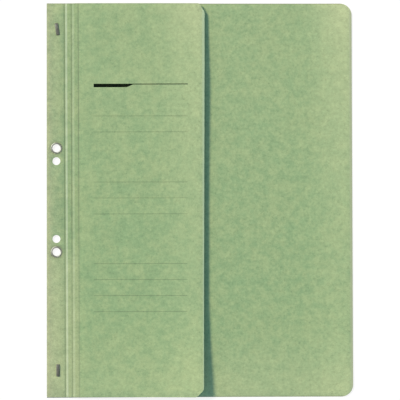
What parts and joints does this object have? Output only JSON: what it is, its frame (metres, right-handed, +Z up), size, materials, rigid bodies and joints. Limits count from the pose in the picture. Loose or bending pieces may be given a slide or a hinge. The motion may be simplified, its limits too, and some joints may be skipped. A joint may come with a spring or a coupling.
{
  "type": "eyelet folder",
  "caption": "Flat card folder with a half-width front cover, a scored spine, a punched strip with metal eyelets for ring filing, and an inner prong fastener under a cover bar.",
  "frame": {"origin": "centre of the folder's outline on the surface it lies on, with the folder closed on its back", "axes": "+X across the folder from the eyelet strip to the open edge, +Y along the spine towards the top edge, +Z up through the thickness"},
  "size_m": [0.236, 0.304, 0.0046],
  "materials": {
    "manila_card": "matte",
    "patch_card": "matte",
    "nickel_plate": "satin",
    "staple_wire": "satin",
    "zinc_steel": "satin"
  },
  "bodies": {
    "back_cover": {"back_cover": "manila_card", "fastener_base": "zinc_steel", "fastener_patch": "patch_card", "cover_bar": "zinc_steel"},
    "back_spine_inner": {"back_spine_inner": "manila_card"},
    "back_spine_outer": {"back_spine_outer": "manila_card"},
    "strip": {"strip_back_layer": "manila_card", "strip_front_layer": "manila_card", "upper_eyelet": "nickel_plate", "lower_eyelet": "nickel_plate", "upper_staple": "staple_wire", "lower_staple": "staple_wire"},
    "front_spine_outer": {"front_spine_outer": "manila_card"},
    "front_spine_inner": {"front_spine_inner": "manila_card"},
    "half_cover": {"front_half_cover": "manila_card"},
    "upper_prong": {"upper_prong": "zinc_steel"},
    "lower_prong": {"lower_prong": "zinc_steel"},
    "upper_slider": {"upper_slider": "zinc_steel"},
    "lower_slider": {"lower_slider": "zinc_steel"}
  },
  "joints": [
    {"name": "back_cover_fold", "type": "hinge", "parent": "back_cover", "child": "back_spine_inner", "pos_m": [-0.0927, 0, 0], "axis": [0, 1, 0], "range_deg": [-30, 0]},
    {"name": "back_spine_fold", "type": "hinge", "parent": "back_spine_inner", "child": "back_spine_outer", "pos_m": [-0.0981, 0, 0.00022], "axis": [0, 1, 0], "range_deg": [-30, 0]},
    {"name": "back_strip_fold", "type": "hinge", "parent": "back_spine_outer", "child": "strip", "pos_m": [-0.1035, 0, 0.00045], "axis": [0, 1, 0], "range_deg": [-30, 0]},
    {"name": "front_strip_fold", "type": "hinge", "parent": "strip", "child": "front_spine_outer", "pos_m": [-0.1035, 0, 0.0014], "axis": [0, -1, 0], "range_deg": [0, 120]},
    {"name": "front_spine_fold", "type": "hinge", "parent": "front_spine_outer", "child": "front_spine_inner", "pos_m": [-0.0981, 0, 0.00217], "axis": [0, -1, 0], "range_deg": [0, 25]},
    {"name": "half_cover_fold", "type": "hinge", "parent": "front_spine_inner", "child": "half_cover", "pos_m": [-0.0927, 0, 0.00295], "axis": [0, -1, 0], "range_deg": [0, 25]},
    {"name": "upper_prong_bend", "type": "hinge", "parent": "back_cover", "child": "upper_prong", "pos_m": [-0.0807, 0.04013, 0.00165], "axis": [-1, 0, 0], "range_deg": [0, 90]},
    {"name": "lower_prong_bend", "type": "hinge", "parent": "back_cover", "child": "lower_prong", "pos_m": [-0.0807, -0.04013, 0.00165], "axis": [1, 0, 0], "range_deg": [0, 90]},
    {"name": "upper_slider_travel", "type": "slide", "parent": "back_cover", "child": "upper_slider", "axis": [0, 1, 0], "range_m": [0, 0.016]},
    {"name": "lower_slider_travel", "type": "slide", "parent": "back_cover", "child": "lower_slider", "axis": [0, -1, 0], "range_m": [0, 0.016]}
  ],
  "couplings": [
    {"joint": "upper_prong_bend", "follows": "front_strip_fold", "ratio": 0.75},
    {"joint": "lower_prong_bend", "follows": "front_strip_fold", "ratio": 0.75}
  ]
}
